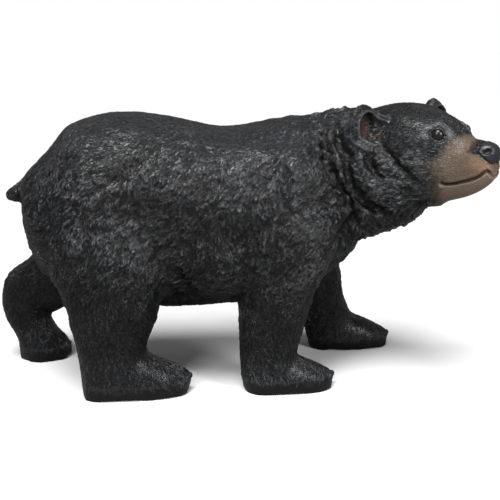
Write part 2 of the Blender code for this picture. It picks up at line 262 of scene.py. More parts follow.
def eyeParts(folded):
    # how far outside the opening each point is, less than 0 on the ball, and its place in the eye's axes
    away = folded - np.array(eyeAt)
    x, y, h = away @ eyeAlong, away @ eyeUp, away @ eyeOut
    wide = np.clip(1 - (x / eyeSizes["halfWidth"]) ** 2, 0, 1) ** 0.6
    beyond = np.maximum(np.abs(x) - eyeSizes["halfWidth"], 0)
    edge = np.where(y > 0, y - eyeSizes["upper"] * wide, -y - eyeSizes["lower"] * wide)
    edge = np.where(beyond > 0, np.hypot(beyond, np.abs(y)), edge)
    near = (np.hypot(x, y) < 1.5 * eyeSizes["reach"]) & (np.abs(h) < eyeSizes["reach"])
    return np.where(near, edge, farAway), x, y, h


def setEyes(local):
    folded = local * mirrorLeft(local)
    edge, x, y, h = eyeParts(folded)
    ball = eyeSizes["ball"]
    centre = eyeSizes["proud"] - ball
    onBall = centre + np.sqrt(np.clip(ball**2 - x**2 - y**2, 0, None))
    lid = centre + np.sqrt(np.clip((ball + eyeSizes["lid"]) ** 2 - x**2 - y**2, 0, None))
    outer = h + (np.maximum(lid, h) - h) * hump(np.clip(edge, 0, None), 0, eyeSizes["lidReach"])
    outer -= eyeSizes["crease"] * hump(edge, eyeSizes["creaseAt"], 1.1) * rise(-6, 2, y)
    outer += eyeSizes["browLift"] * hump(edge, eyeSizes["browAt"], 2.2) * rise(-3, 4, y)
    outer -= eyeSizes["pouch"] * hump(edge, eyeSizes["pouchAt"], 1.5) * rise(2, -5, y)
    target = np.where(edge < 0, onBall - eyeSizes["step"] * rise(-1.0, 0, edge), outer)
    target = h + (target - h) * rise(eyeSizes["reach"], 11, edge)
    moved = folded + (target - h)[:, None] * eyeOut
    return moved * mirrorLeft(local)


nosePadRight = [
    (0, -4), (-9, -5), (-16, -8.5), (-20.5, -15), (-21.5, -22),
    (-19.5, -28), (-16.5, -33.5), (-11.5, -37.5), (-5.5, -38.5), (0, -36),
]
nosePad = nosePadRight + [(-b, c) for b, c in reversed(nosePadRight[1:-1])]
noseSizes = {
    "from": 154.5,
    "proud": 1.1,
    "edge": 1.2,
    "groove": 1.7,  # the line from the nose down to the mouth
    "grooveTop": -29,
    "grooveFoot": -58,
    "split": 0.9,
}
nostril = {"at": (-14.6, -22.3), "radii": (5.2, 2.7), "turn": math.radians(43), "depth": 4.8, "ring": 0.4}
mouthRight = [
    (101, -29.3, -73.4), (105.7, -28.1, -74.2), (113.4, -26.5, -73.4), (121.3, -25.4, -71.6),
    (129.3, -24.6, -69.3), (137.2, -23.6, -67.1), (145, -22.7, -64.4), (152.4, -21.2, -61.3),
    (159.8, -20, -57), (165.3, -18.6, -51.5),
    (168.5, -16, -49.2), (170.3, -10.7, -52.5), (170.7, -7, -56.5), (170.5, 0, -59),
]
mouthLine = mouthRight + [(a, -b, c) for a, b, c in reversed(mouthRight[:-1])]
mouthSizes = {
    "depth": 2.8,
    "half": 1.45,
    "lipUnder": 1.875,
    "lipOver": 1.2,
    "lipAt": 4.2,
    "dimple": 2.4,
    "dimpleAt": (101, -29.5, -73.5),
    "bead": 2.0,
    "beadAt": (97.5, -29.5, -78),
}
lipDip = {"a": (102, 118, 133, 145, 156, 166, 171), "c": (-76, -72.5, -68, -64, -58, -52.5, -52)}
lipPaint = {"a": (101, 121, 137, 152, 165, 171), "c": (-74, -71.6, -67, -61.3, -51.5, -51)}
muzzleEdge = [  # where the short coat starts: height c, then a
    (-112, 84), (-104, 85), (-94, 87), (-84, 90), (-72, 93), (-66, 94), (-56, 92.5),
    (-45, 93), (-38, 97), (-30, 104), (-22, 110), (-12, 114), (-4, 119), (4, 128),
]


def noseGap(local):  # outside the nose's leather, less than 0 on it
    gap = np.maximum(gapToOutline(local[:, 1], local[:, 2], nosePad), noseSizes["from"] - local[:, 0])
    return np.where(local[:, 0] > 138, gap, farAway)


def nostrilShare(local):
    b, c = -np.abs(local[:, 1]) - nostril["at"][0], local[:, 2] - nostril["at"][1]
    turn = nostril["turn"]
    x = b * math.cos(turn) + c * math.sin(turn)
    y = c * math.cos(turn) - b * math.sin(turn)
    hole = np.clip(1.3 - (x / nostril["radii"][0]) ** 2 - (y / nostril["radii"][1]) ** 2, 0, 1)
    return np.where(local[:, 0] > 150, hole, 0)


def faceOffsets(local):  # how far the skin of the muzzle moves out along its normal
    out = np.zeros(len(local))
    front = local[:, 0] > 84
    pad = noseGap(local)
    onPad = noseSizes["proud"] * rise(1.0, -2.0, pad) - noseSizes["edge"] * hump(pad, 0.9, 1.1)
    out += np.where(pad < 30, onPad, 0)
    hole = nostrilShare(local)
    ring = nostril["ring"] * hump(hole, 0.02, 0.05) * rise(0, -3, pad) * (local[:, 2] < -23)
    out += np.where(pad < 30, ring, 0)
    out -= nostril["depth"] * hole
    gap, share = gapToLine(local, mouthLine)
    ends = fadeEnds(share, 0.03) * (0.25 + 0.75 * rise(3, 10, np.abs(local[:, 1])))
    out -= np.where(front, mouthSizes["depth"] * ends * hump(gap, 0, mouthSizes["half"]), 0)
    belowLine = local[:, 2] < np.interp(local[:, 0], lipDip["a"], lipDip["c"])
    lip = hump(gap, mouthSizes["lipAt"], 2.6) * ends
    out += np.where(front & belowLine, mouthSizes["lipUnder"] * lip, 0)
    out += np.where(front & ~belowLine, mouthSizes["lipOver"] * lip, 0)
    folded = local * mirrorLeft(local)
    out -= mouthSizes["dimple"] * hump(gapTo(folded, mouthSizes["dimpleAt"]), 0, 3.0)
    out += mouthSizes["bead"] * hump(gapTo(folded, mouthSizes["beadAt"]), 0, 3.2)
    aside, up = np.abs(local[:, 1]), local[:, 2]
    foot, top = noseSizes["grooveFoot"], noseSizes["grooveTop"]
    between = rise(foot, foot + 4, up) * rise(top, top - 4, up) * (local[:, 0] > 150)
    out -= noseSizes["groove"] * between * hump(aside, 0, 1.3)
    padSplit = rise(-38, -34, up) * rise(-22, -28, up) * (local[:, 0] > 150)
    out -= noseSizes["split"] * padSplit * hump(aside, 0, 1.1)
    return out


# Ears, toes and the folds of the coat.
earAt = {-1: (-11, -77, 6), 1: (3, 77, 8)}
earSizes = {
    "half": 28.5,
    "high": 34.5,
    "turn": 12.0,
    "rim": 2.6,
    "deeper": 5.0,
    "inward": 4.0,  # how far the hollow sits from the ear's middle, towards the crown
    "forward": 9.0,
}
feet = {
    "hindRight": {"heel": (-270, -104), "turn": 3.0, "length": 169, "width": 90, "instep": 65},
    "hindLeft": {"heel": (-378, 117), "turn": -17.0, "length": 86, "width": 80, "instep": 54},
    "frontRight": {"heel": (-20, -103), "turn": 3.0, "length": 142, "width": 86, "instep": 51},
    "frontLeft": {"heel": (121, 104), "turn": 1.0, "length": 137, "width": 82, "instep": 55},
}
toeSizes = {
    "count": 5,
    "groove": 3.4,
    "half": 1.5,
    "spread": 0.86,  # of the foot's width
    "claw": 2.6,
    "clawRadii": (6.5, 2.6, 4.5),
    "clawSpread": 0.67,
    "clawHeight": 0.36,  # of the instep
    "back": 104,  # how far the outer claws lie behind the middle one, times the square of their share
    "band": 19.5,  # the plain band around the sole
}
soleSizes = {"round": 2.0, "height": 5}
foldLines = [  # extra depth, half width and the line over the right side's skin
    (7.0, 6.0, [(125, -76, 401), (124, -96, 382), (137, -111, 358)]),
    (10.0, 7.0, [(103, -84, 388), (109, -109, 347), (120, -116, 317), (131, -116, 293), (145, -107, 262)]),
    (8.5, 6.0, [(130, -109, 358), (141, -118, 316), (158, -119, 295), (197, -111, 269)]),
    (5.5, 4.5, [(178, -118, 371), (162, -120, 360), (171, -125, 339), (188, -128, 320)]),
    (4.0, 4.0, [(184, -116, 376), (204, -132, 347), (222, -140, 331), (240, -143, 319)]),
    (6.0, 6.0, [(137, -108, 263), (130, -99, 232)]),
    (1.5, 9.0, [(-160, -102, 367), (-193, -116, 339), (-227, -121, 319)]),
    (3.0, 3.0, [(-24, -128, 262), (-20, -126, 220), (-24, -120, 185), (-28, -108, 160)]),
]
tufts = [
    (88, -8, 455), (106, -14, 455), (121, -6, 455), (140, -22, 455),
    (156, -12, 455), (97, 10, 455), (132, 8, 455),
]
spineLine = [(-342, 0), (60, 0), (110, -4), (150, -14), (186, -30), (216, -50)]


def inEar(local, side):
    return turned(local - np.array(earAt[side]), math.radians(side * earSizes["turn"]))


def earShares(local, normals):  # the hollow, all of the ear, the lines along its rim, and the brown patch
    hollow, whole, rim, brown = (np.zeros(len(local)) for _ in range(4))
    half, high = earSizes["half"], earSizes["high"]
    for side in (-1, 1):
        own = inEar(local, side)
        inner = np.hypot((own[:, 1] + side * earSizes["inward"]) / half, (own[:, 2] + 1.5) / high)
        outer = np.hypot(own[:, 1] / half, own[:, 2] / high)
        turn = math.radians(side * earSizes["turn"])
        facing = unitRows(normals) @ fromHead(np.array([[math.cos(turn), math.sin(turn), 0]]))[0]
        front = (np.abs(own[:, 0]) < 30) & (own[:, 0] > -14)
        hollow = np.maximum(hollow, np.where(front, rise(0.66, 0.52, inner) * rise(-0.5, -0.1, facing), 0))
        lines = hump(inner, 0.70, 0.06) + 0.9 * hump(outer, 1.0, 0.06)
        rim = np.maximum(rim, np.where(front, np.clip(lines, 0, 1) * rise(-0.6, 0.1, facing), 0))
        whole = np.maximum(whole, np.where(np.abs(own[:, 0]) < 24, rise(1.2, 1.05, outer), 0))
        patch = hump(own[:, 1], -side * 2.5, 7.0) * hump(own[:, 2], -3, 16)
        brown = np.maximum(brown, np.where(front, patch * hollow, 0))
    return hollow, whole, rim, brown


def leanEar(local):  # the front of the left ear comes forward, which makes it thicker
    own = inEar(local, 1)
    outer = np.hypot(own[:, 1] / earSizes["half"], own[:, 2] / earSizes["high"])
    share = rise(1.35, 1.1, outer) * rise(-14, 6, own[:, 2]) * rise(-12, 8, own[:, 0])
    share *= np.abs(own[:, 0]) < 30
    return local + (earSizes["forward"] * share)[:, None] * np.array([0.98, -0.2, 0.0])


def inFoot(points, foot):
    return turned(points - np.array([*foot["heel"], 0]), math.radians(foot["turn"]))


def toeShares(points):  # grooves, claws and the whole foot
    grooves, claws, whole = (np.zeros(len(points)) for _ in range(3))
    count, band = toeSizes["count"], toeSizes["band"]
    for foot in feet.values():
        local = inFoot(points, foot)
        along, across, up = local[:, 0] / foot["length"], local[:, 1], local[:, 2]
        here = (along > -0.1) & (along < 1.1) & (np.abs(across) < 0.62 * foot["width"])
        here &= up < 1.25 * foot["instep"]
        front = rise(0.74, 0.90, along) * rise(band - 2, band + 3, up)
        fan = toeSizes["spread"] * foot["width"] * (0.8 + 0.2 * np.clip((along - 0.68) / 0.18, 0, 1))
        for k in range(1, count):
            line = hump(across, (k / count - 0.5) * fan, toeSizes["half"])
            grooves = np.maximum(grooves, line * front * here)
        for k in range(count):
            share = k / (count - 1) - 0.5
            tip = np.array([
                foot["length"] - 3 - toeSizes["back"] * share**2,
                share * toeSizes["clawSpread"] * foot["width"],
                toeSizes["clawHeight"] * foot["instep"],
            ])
            gap = np.linalg.norm((local - tip) / toeSizes["clawRadii"], axis=1)
            claws = np.maximum(claws, rise(1.15, 0.6, gap) * here)
        whole = np.maximum(whole, here * rise(1.2, 0.9, up / foot["instep"]) * rise(-0.1, 0.05, along))
    return grooves, claws, whole


def foldDepth(points, tree):
    deep = np.zeros(len(points))
    for depth, half, line in foldLines:
        for side in (1, -1):
            onSkin = []
            for x, y, z in line:
                middle = np.interp(x, *zip(*spineLine))
                onSkin.append(tuple(tree.find((x, y if side > 0 else 2 * middle - y, z))[0]))
            gap, share = gapToLine(points, onSkin)
            deep = np.maximum(deep, depth * fadeEnds(share, 0.04) * hump(gap, 0, half))
    return deep


# Where the coat is short, long, flat or missing, and which way it lies.
coatRegions = {  # where each share starts and where it is full; the facings are of the normal's upright part
    "neck": (88, 118),
    "neckHeight": (185, 215),
    "face": (62, 84),
    "crown": (-52, -30),
    "crownHeight": (-34, -8),
    "head": (-46, -14),
    "headHeight": (-130, -100),
    "headStart": (95, 130),
    "muzzle": (-6, 8),
    "muzzleStart": (185, 200),
    "backFacing": (0.35, 0.85),
    "backHeight": (250, 330),
    "bellyFacing": (0.2, -0.5),
    "bellyHeight": (100, 130),
    "leg": (190, 95),
}


def region(name, value):
    return rise(*coatRegions[name], value)


def coatShares(points, normals):
    a, _, c = inHead(points).T
    x, _, z = points.T
    band = toeSizes["band"]
    neck = region("neck", x + 0.25 * (z - 300)) * region("neckHeight", z)
    face = region("face", a)
    crown = region("crown", a) * region("crownHeight", c)
    head = region("head", a) * region("headHeight", c) * region("headStart", x)
    muzzle = region("muzzle", a - np.interp(c, *zip(*muzzleEdge))) * (a > 56) * region("muzzleStart", x)
    return {
        "ruff": neck * (1 - face) * (1 - crown),
        "head": head,
        "muzzle": muzzle,
        "crown": crown * head,
        "back": region("backFacing", normals[:, 2]) * region("backHeight", z) * (1 - head),
        "belly": region("bellyFacing", normals[:, 2]) * region("bellyHeight", z) * (1 - neck),
        "leg": region("leg", z),
        "band": rise(band + 1.5, band - 1.5, z),
        "face": face * head,
    }


def waves(points, length, seed):  # a smooth field about 0, roughly from -1 to 1
    chance = np.random.default_rng(seed)
    field = np.zeros(len(points))
    for _ in range(9):
        way = chance.normal(size=3)
        way *= 2 * math.pi / (length * chance.uniform(0.7, 1.5) * np.linalg.norm(way))
        field += np.sin(points @ way + chance.uniform(0, 6.28))
    return field / 3.2


flowWays = {
    "flank": (-0.42, 0, -1),
    "shoulder": (-0.6, 0, -0.8),
    "back": (-1, 0, -0.3),
    "belly": (-1, 0, -0.2),
    "leg": (0.05, 0, -1),
    "ruff": (0.42, 0, -1),
    "head": (-1, 0.25, -0.35),  # in the head's axes, on the left side
}


def blendIn(way, other, share):
    return way * (1 - share[:, None]) + np.asarray(other, float) * share[:, None]


def coatFlow(points, normals, shares):  # the way each hair lies
    way = np.tile(np.array(flowWays["flank"], float), (len(points), 1))
    way = blendIn(way, flowWays["shoulder"], rise(20, 90, points[:, 0]) * rise(150, 260, points[:, 2]))
    for name in ("back", "belly", "leg", "ruff"):
        way = blendIn(way, flowWays[name], shares[name])
    headWay = np.tile(np.array(flowWays["head"], float), (len(points), 1))
    headWay[:, 1] *= np.sign(inHead(points)[:, 1] + 1e-6)
    way = blendIn(way, fromHead(headWay), shares["head"])
    way -= (way * normals).sum(1, keepdims=True) * normals
    way = unitRows(way)
    across = np.cross(normals, way)
    swirl = 0.42 * waves(points, 95, 3) + 0.28 * waves(points, 38, 4)
    return unitRows(way * np.cos(swirl)[:, None] + across * np.sin(swirl)[:, None])


# Locks of fur.
coatLayers = {  # sunk is how far the skin goes in first, so that the locks stand about its old place
    "clumps": {"spacing": 16.0, "length": 36.0, "half": 9.5, "height": 2.7, "sunk": 1.1, "seed": 11},
    "locks": {"spacing": 12.5, "length": 48.0, "half": 7.2, "height": 6.0, "sunk": 2.6, "seed": 12},
    "strokes": {"spacing": 5.3, "length": 15.0, "half": 2.8, "height": 2.3, "sunk": 0.9, "seed": 13},
    "tufts": {"length": 30.0, "half": 6.5, "height": 5.5, "sunk": 3.6, "seed": 15},
    "fine": {"spacing": 4.0, "length": 9.5, "half": 1.9, "height": 1.0, "seed": 14},
}
lockSpread = {  # shares of the layer's sizes, and the turn in radians
    "length": (0.7, 1.2),
    "half": (0.75, 1.2),
    "height": (0.55, 1.15),
    "turn": (-0.38, 0.38),
    "bow": (-0.16, 0.16),
}


def scatter(points, share, spacing, seed):  # evenly spread points where the share is over a quarter
    order = np.flatnonzero(share > 0.25)
    np.random.default_rng(seed).shuffle(order)
    cells, kept = {}, []
    reach = spacing * spacing
    spots = points[order].tolist()
    keys = np.floor(points[order] / spacing).astype(int).tolist()
    around = [(i, j, k) for i in (-1, 0, 1) for j in (-1, 0, 1) for k in (-1, 0, 1)]
    full, triesInCell = {}, 14
    for spot, key, index in zip(spots, keys, order.tolist()):
        key = tuple(key)
        if full.get(key, 0) > triesInCell:
            continue
        free = True
        for i, j, k in around:
            for other in cells.get((key[0] + i, key[1] + j, key[2] + k), ()):
                if (spot[0] - other[0]) ** 2 + (spot[1] - other[1]) ** 2 + (spot[2] - other[2]) ** 2 < reach:
                    free = False
                    break
            if not free:
                break
        if free:
            cells.setdefault(key, []).append(spot)
            kept.append(index)
            full[key] = 0
        else:
            full[key] = full.get(key, 0) + 1
    return kept


def layLocks(points, normals, flow, tree, seeds, share, sizes):
    # overlapping teardrops that rise from the root to a blunt tip; the highest one shows
    height = np.zeros(len(points))
    owner = np.full(len(points), -1)
    chance = random.Random(sizes["seed"])
    root = 0.45  # the share of a lock's length that lies behind its seed
    for count, j in enumerate(seeds):
        drawn = {name: chance.uniform(*spread) for name, spread in lockSpread.items()}
        length, half = sizes["length"] * drawn["length"], sizes["half"] * drawn["half"]
        tall = sizes["height"] * drawn["height"] * share[j]
        turn, bow = drawn["turn"], drawn["bow"] * length
        normal, way = normals[j], flow[j]
        across = np.cross(normal, way)
        c, s = math.cos(turn), math.sin(turn)
        way, across = way * c + across * s, across * c - way * s
        near = np.array([found[1] for found in tree.find_range(points[j], 0.6 * length)])
        away = points[near] - points[j]
        along = away @ way / length + root
        aside = away @ across - bow * (along - root) ** 2 * 4
        t = np.clip(along, 0, 1)
        taper = half * np.sqrt(np.clip(np.sin(np.pi * t**1.35), 0.01, 1))
        body = np.clip(1 - (aside / taper) ** 2, 0, 1)
        lift = tall * t**0.8 * np.clip((1 - t) * 6, 0, 1) * body**0.6
        lift = np.where((along > 0) & (along < 1) & (np.abs(away @ normal) < 2.2 * half), lift, 0)
        better = lift > height[near]
        height[near[better]] = lift[better]
        owner[near[better]] = count
    return height, owner


def growCoat(data):
    points, normals = readPoints(data), readNormals(data)
    shares = coatShares(points, normals)
    grooves, _, foot = toeShares(points)
    local = inHead(points)
    eyeEdge = eyeParts(local * mirrorLeft(local))[0]
    hollow, ear, _, _ = earShares(local, normals)
    flow = coatFlow(points, normals, shares)
    tree = treeOf(points)
    bare = (1 - shares["band"]) * rise(3.5, 9, eyeEdge) * (1 - 0.93 * shares["muzzle"]) * (1 - 0.85 * hollow)
    bare *= 1 - 0.8 * grooves
    stageDone("coat mapped")

    body = (1 - shares["head"]) * (1 - rise(150, 95, points[:, 2])) * bare
    strokes = bare * (1 - 0.5 * shares["back"]) * (1 - 0.3 * shares["leg"]) * (1 - 0.5 * foot)
    covers = {
        "clumps": body * (1 - 0.75 * shares["back"]) * (1 - 0.5 * shares["ruff"]),
        "locks": shares["ruff"] * bare * (1 - 0.6 * ear),
        "strokes": strokes * (1 - shares["crown"]) * (1 - 0.75 * shares["face"]),
        "fine": bare * np.maximum(shares["crown"] * 0.8, shares["face"]),
    }
    made = {}
    owners = np.full(len(points), -1)
    for name, share in covers.items():
        sizes = coatLayers[name]
        seeds = scatter(points, share, sizes["spacing"], sizes["seed"])
        made[name], owner = layLocks(points, normals, flow, tree, seeds, share, sizes)
        if name in ("strokes", "fine"):
            owners = np.where(owner >= 0, np.array(seeds)[owner], owners)
        stageDone(f"{len(seeds)} {name}")
    napeTufts = [tree.find(spot)[1] for spot in tufts]
    everywhere = np.ones(len(points))
    made["tufts"], _ = layLocks(points, normals, flow, tree, napeTufts, everywhere, coatLayers["tufts"])
    out = made["clumps"] - coatLayers["clumps"]["sunk"] * covers["clumps"]
    out += made["locks"] - coatLayers["locks"]["sunk"] * covers["locks"]
    out += np.maximum(made["strokes"], made["fine"]) - coatLayers["strokes"]["sunk"] * bare
    out += 0.9 * waves(points, 60, 21) * body + 0.5 * waves(points, 26, 22) * body
    out += made["tufts"] - coatLayers["tufts"]["sunk"] * shares["ruff"] * rise(0.4, 0.85, normals[:, 2])
    deep = foldDepth(points, tree)
    out -= deep
    ledge = bare * rise(toeSizes["band"] + 14, toeSizes["band"], points[:, 2])
    out += 0.6 * ledge - 0.5 * shares["band"] * rise(0.5, 0.2, np.abs(normals[:, 2]))
    writePoints(data, points + normals * out[:, None])

    strokeRidge = made["strokes"] / (1.7 * np.maximum(covers["strokes"], 0.3))
    fineRidge = made["fine"] / (0.9 * np.maximum(covers["fine"], 0.3))
    ridge = np.clip(np.maximum(strokeRidge, fineRidge), 0, 1)
    ridge *= 0.35 + 0.65 * np.clip(made["locks"] / 4.2 + 1 - shares["ruff"], 0, 1)
    ridge *= 0.5 + 0.5 * np.clip(made["clumps"] / 1.9 + 1 - covers["clumps"], 0, 1)
    # less grey in the folds and toe grooves, where the painted shade goes
    ridge *= np.exp(-deep / 4.0) * (1 - grooves)
    return {
        "ridge": ridge,
        # how much painted shade the folds and toe grooves take
        "deep": np.clip(deep / 7 + grooves, 0, 1),
        "owner": owners,
        "flow": flow,
        "points": points,
        "normals": normals,
    }


# Thinning, with more points kept on the head.
def spreadHead(points, back):
    centre = headAt + fromHead(np.array([skinSizes["roomAt"]]))[0]
    away = points - centre
    far = np.linalg.norm(away, axis=1)
    table = np.linspace(0, 1600, 6400)
    grown = table * (1 + skinSizes["faceRoom"] * hump(table, 0, skinSizes["roomReach"]))
    wanted = np.interp(far, grown, table) if back else np.interp(far, table, grown)
    return centre + away * (wanted / np.maximum(far, 1e-6))[:, None]


def thinSkin(skin):
    writePoints(skin.data, spreadHead(readPoints(skin.data), False))
    sides = np.empty(len(skin.data.polygons), dtype=np.int32)
    skin.data.polygons.foreach_get("loop_total", sides)
    thinner = skin.modifiers.new("thinner", "DECIMATE")
    thinner.ratio = skinSizes["triangles"] / float((sides - 2).sum())
    thinner.use_collapse_triangulate = True
    applyAll(skin)
    writePoints(skin.data, spreadHead(readPoints(skin.data), True))


def keepInBox(data):
    low, high = (np.array(corner) * 1000 for corner in boxAtLoad)
    points = readPoints(data) + shift
    points = np.clip(points, low + skinSizes["clearance"], high - skinSizes["clearance"])
    points[:, 2] = np.where(points[:, 2] < skinSizes["flatSole"], 0.0, points[:, 2])
    writePoints(data, points - shift)


def addShare(data, name, values):
    made = data.attributes.new(name, "FLOAT", "POINT")
    made.data.foreach_set("value", np.asarray(values, dtype=np.float32))


def layFurMap(data, coat, nearest):
    # a map whose length runs along the hair; each face takes the stroke that its first corner lies on
    corners = np.empty(len(data.loops), dtype=np.int32)
    data.loops.foreach_get("vertex_index", corners)
    first = corners.reshape(-1, 3)[:, 0]
    owner = coat["owner"][nearest[first]]
    owner = np.where(owner < 0, nearest[first], owner)
    seedAt, way = coat["points"][owner], coat["flow"][owner]
    across = np.cross(coat["normals"][owner], way)
    points = readPoints(data)
    away = points[corners.reshape(-1, 3)] - seedAt[:, None, :]
    u = (away * across[:, None, :]).sum(2) + (owner * 7.31 % 97)[:, None] * 10
    v = (away * way[:, None, :]).sum(2) + (owner * 3.17 % 89)[:, None] * 10
    layer = data.uv_layers.new(name="furMap")
    layer.data.foreach_set("uv", np.stack([u, v], 2).astype(np.float32).ravel())


def dressSkin(skin, coat):
    data = skin.data
    points, normals = readPoints(data), readNormals(data)
    tree = treeOf(coat["moved"])
    nearest = np.array([tree.find(p)[1] for p in points])
    shares = coatShares(points, normals)
    local = inHead(points)
    folded = local * mirrorLeft(local)
    hollow, _, rim, brown = earShares(local, normals)
    edge = eyeParts(folded)[0]
    pad = noseGap(local)
    gap, _ = gapToLine(local, mouthLine)
    foot = toeShares(points)[2]
    wisps = 3.0 * waves(points, 9, 31) + 3.0 * waves(points, 30, 32)
    fade = rise(-20, 20, local[:, 0] + wisps - np.interp(local[:, 2], *zip(*muzzleEdge)))
    nearNose = np.where(local[:, 2] > -27, rise(-2, 30, pad), rise(-2, 6, pad))
    mouth = rise(3.2, 1.5, gap) * (local[:, 0] > 99) * (0.35 + 0.65 * rise(5, 11, np.abs(local[:, 1])))
    below = rise(0, -6, local[:, 2] - np.interp(local[:, 0], lipPaint["a"], lipPaint["c"]))
    # the lower lip's lighter tan, strongest along its ridge where it is a painted highlight
    lip = (hump(gap, 4.5, 3.0) + 0.6) * shares["muzzle"] * below
    painted = {
        "ridge": coat["ridge"][nearest],
        # painted shade in the folds and toe grooves
        "deep": coat["deep"][nearest],
        "tan": np.where(local[:, 0] > 56, fade, 0) * nearNose * rise(2.5, 9, edge),
        "warm": hump(np.linalg.norm((local - (158, -20, -42)) / (16, 30, 15), axis=1), 0, 1),
        # the mouth line's dark paint with painted shade in its groove, and painted shade in the nostrils
        "mouth": np.clip(mouth + 4 * nostrilShare(local), 0, 1),
        # the lip, and a painted highlight spot on the bead at its corner
        "lip": np.clip(lip + hump(gapTo(folded, mouthSizes["beadAt"]), 0, 4), 0, 1),
        "nose": rise(0.6, -0.8, pad),
        "eye": rise(0.2, -0.5, edge),
        "lid": hump(edge, 1.5, 0.8),
        # painted shade in the crease around each eye
        "crease": hump(edge, 3.7, 0.9) * rise(-7, 0, folded[:, 2]),
        "brow": hump(edge, 9.0, 4.2) * rise(-10, 0, folded[:, 2]),
        # painted highlight along the ear's rim lines, which are also raised a little
        "rim": rim,
        # the ear's hollow, painted as shade
        "earHollow": hollow,
        "earBrown": brown,
        # the top of the back and crown, which takes the painted sheen and less painted shade
        "back": np.clip(shares["back"] + 0.6 * shares["crown"], 0, 1),
        # painted shade: darker towards the bottom and on the belly
        "low": np.clip(np.maximum(rise(210, 120, points[:, 2]), shares["belly"]), 0, 1),
        "foot": foot,
        "ruff": shares["ruff"],
        "smooth": np.clip(np.maximum(shares["band"], 0.45 * foot), 0, 1),
        "ledge": hump(points[:, 2], toeSizes["band"] + 1, 1.6),
    }
    for name, values in painted.items():
        addShare(data, name, values)
    layFurMap(data, coat, nearest)


# Paint, with painted shade, sheen and highlights.
def node(tree, kind, **values):
    made = tree.nodes.new(kind)
    for name, value in values.items():
        setattr(made, name, value)
    return made


def share(tree, name):
    return node(tree, "ShaderNodeAttribute", attribute_name=name).outputs["Fac"]


def maths(tree, operation, *values, clamp=False):
    made = node(tree, "ShaderNodeMath", operation=operation, use_clamp=clamp)
    for socket, value in zip(made.inputs, values):
        if isinstance(value, (int, float)):
            socket.default_value = value
        else:
            tree.links.new(value, socket)
    return made.outputs[0]


def times(tree, first, second):
    return maths(tree, "MULTIPLY", first, second)


def most(tree, first, second):
    return maths(tree, "MAXIMUM", first, second)


def addShares(tree, value, amounts):  # the value and each named share times its amount
    for name, amount in amounts.items():
        value = maths(tree, "MULTIPLY_ADD", share(tree, name), amount, value)
    return value


def ranged(tree, value, low, high, newLow=0.0, newHigh=1.0):
    made = node(tree, "ShaderNodeMapRange", interpolation_type="SMOOTHSTEP")
    tree.links.new(value, made.inputs["Value"])
    made.inputs["From Min"].default_value = low
    made.inputs["From Max"].default_value = high
    made.inputs["To Min"].default_value = newLow
    made.inputs["To Max"].default_value = newHigh
    return made.outputs["Result"]


def mixed(tree, amount, first, second):
    made = node(tree, "ShaderNodeMix", data_type="RGBA")
    tree.links.new(amount, made.inputs["Factor"])
    colourSockets = [socket for socket in made.inputs if socket.type == "RGBA"]
    for socket, value in zip(colourSockets, (first, second)):
        if isinstance(value, tuple):
            socket.default_value = value
        else:
            tree.links.new(value, socket)
    return [socket for socket in made.outputs if socket.type == "RGBA"][0]


def noise(tree, coordinates, scale, detail, rough):
    made = node(tree, "ShaderNodeTexNoise")
    tree.links.new(coordinates, made.inputs["Vector"])
    made.inputs["Scale"].default_value = scale
    made.inputs["Detail"].default_value = detail
    made.inputs["Roughness"].default_value = rough
    return made.outputs["Fac"]


paint = {
    "black": (0.003, 0.003, 0.0033, 1),
    "brushed": (0.135, 0.142, 0.158, 1),
    # painted shade, also the dark paint of the mouth line
    "shadeAndLineBlack": (0.0012, 0.0012, 0.0014, 1),
    "tan": (0.168, 0.126, 0.089, 1),
    "tanWarm": (0.29, 0.175, 0.115, 1),
    "tanDark": (0.075, 0.048, 0.03, 1),
    # the lip's own light tan, also used for painted highlights on the lip's ridge and corner bead
    "lip": (0.34, 0.25, 0.182, 1),
    "earBrown": (0.2, 0.135, 0.105, 1),
    "nose": (0.022, 0.022, 0.025, 1),
    "eye": (0.012, 0.0115, 0.012, 1),
    "frost": (0.3, 0.31, 0.335, 1),
}
brushAndLowShade = {"back": -0.35, "low": -0.76, "foot": 0.3, "ruff": 0.5}  # added to how much grey the brush leaves; the cut on the low parts and belly is painted shade
# the rim's least grey is a painted highlight along the ear's rim lines
brushAtLeast = {"smooth": 0.07, "lid": 0.6, "ledge": 0.22, "rim": 0.6}
finish = {
    "specular": 0.45,
    "rough": (0.26, 0.38),
    "rougher": {"smooth": -0.05, "nose": -0.02, "eye": -0.12, "mouth": 0.35},
    "hairStretch": (1.0, 0.17, 1.0),
    "hairScale": 0.34,
    "hairWidth": 0.085,
    "hairDepth": 0.0012,  # metres
    "grainDepth": 0.0003,
}


def bumped(tree, height, strength, depth, normal=None):
    made = node(tree, "ShaderNodeBump")
    made.inputs["Strength"].default_value = strength
    made.inputs["Distance"].default_value = depth
    tree.links.new(height, made.inputs["Height"])
    if normal is not None:
        tree.links.new(normal, made.inputs["Normal"])
    return made.outputs["Normal"]


def hairLines(tree):  # fine lines that run along the hair, where a stretched noise crosses its middle
    stretched = node(tree, "ShaderNodeMapping")
    tree.links.new(node(tree, "ShaderNodeUVMap", uv_map="furMap").outputs["UV"], stretched.inputs["Vector"])
    stretched.inputs["Scale"].default_value = finish["hairStretch"]
    lines = noise(tree, stretched.outputs["Vector"], finish["hairScale"], 2.0, 0.6)
    lines = maths(tree, "ABSOLUTE", maths(tree, "SUBTRACT", lines, 0.5))
    return ranged(tree, lines, finish["hairWidth"], 0.0)


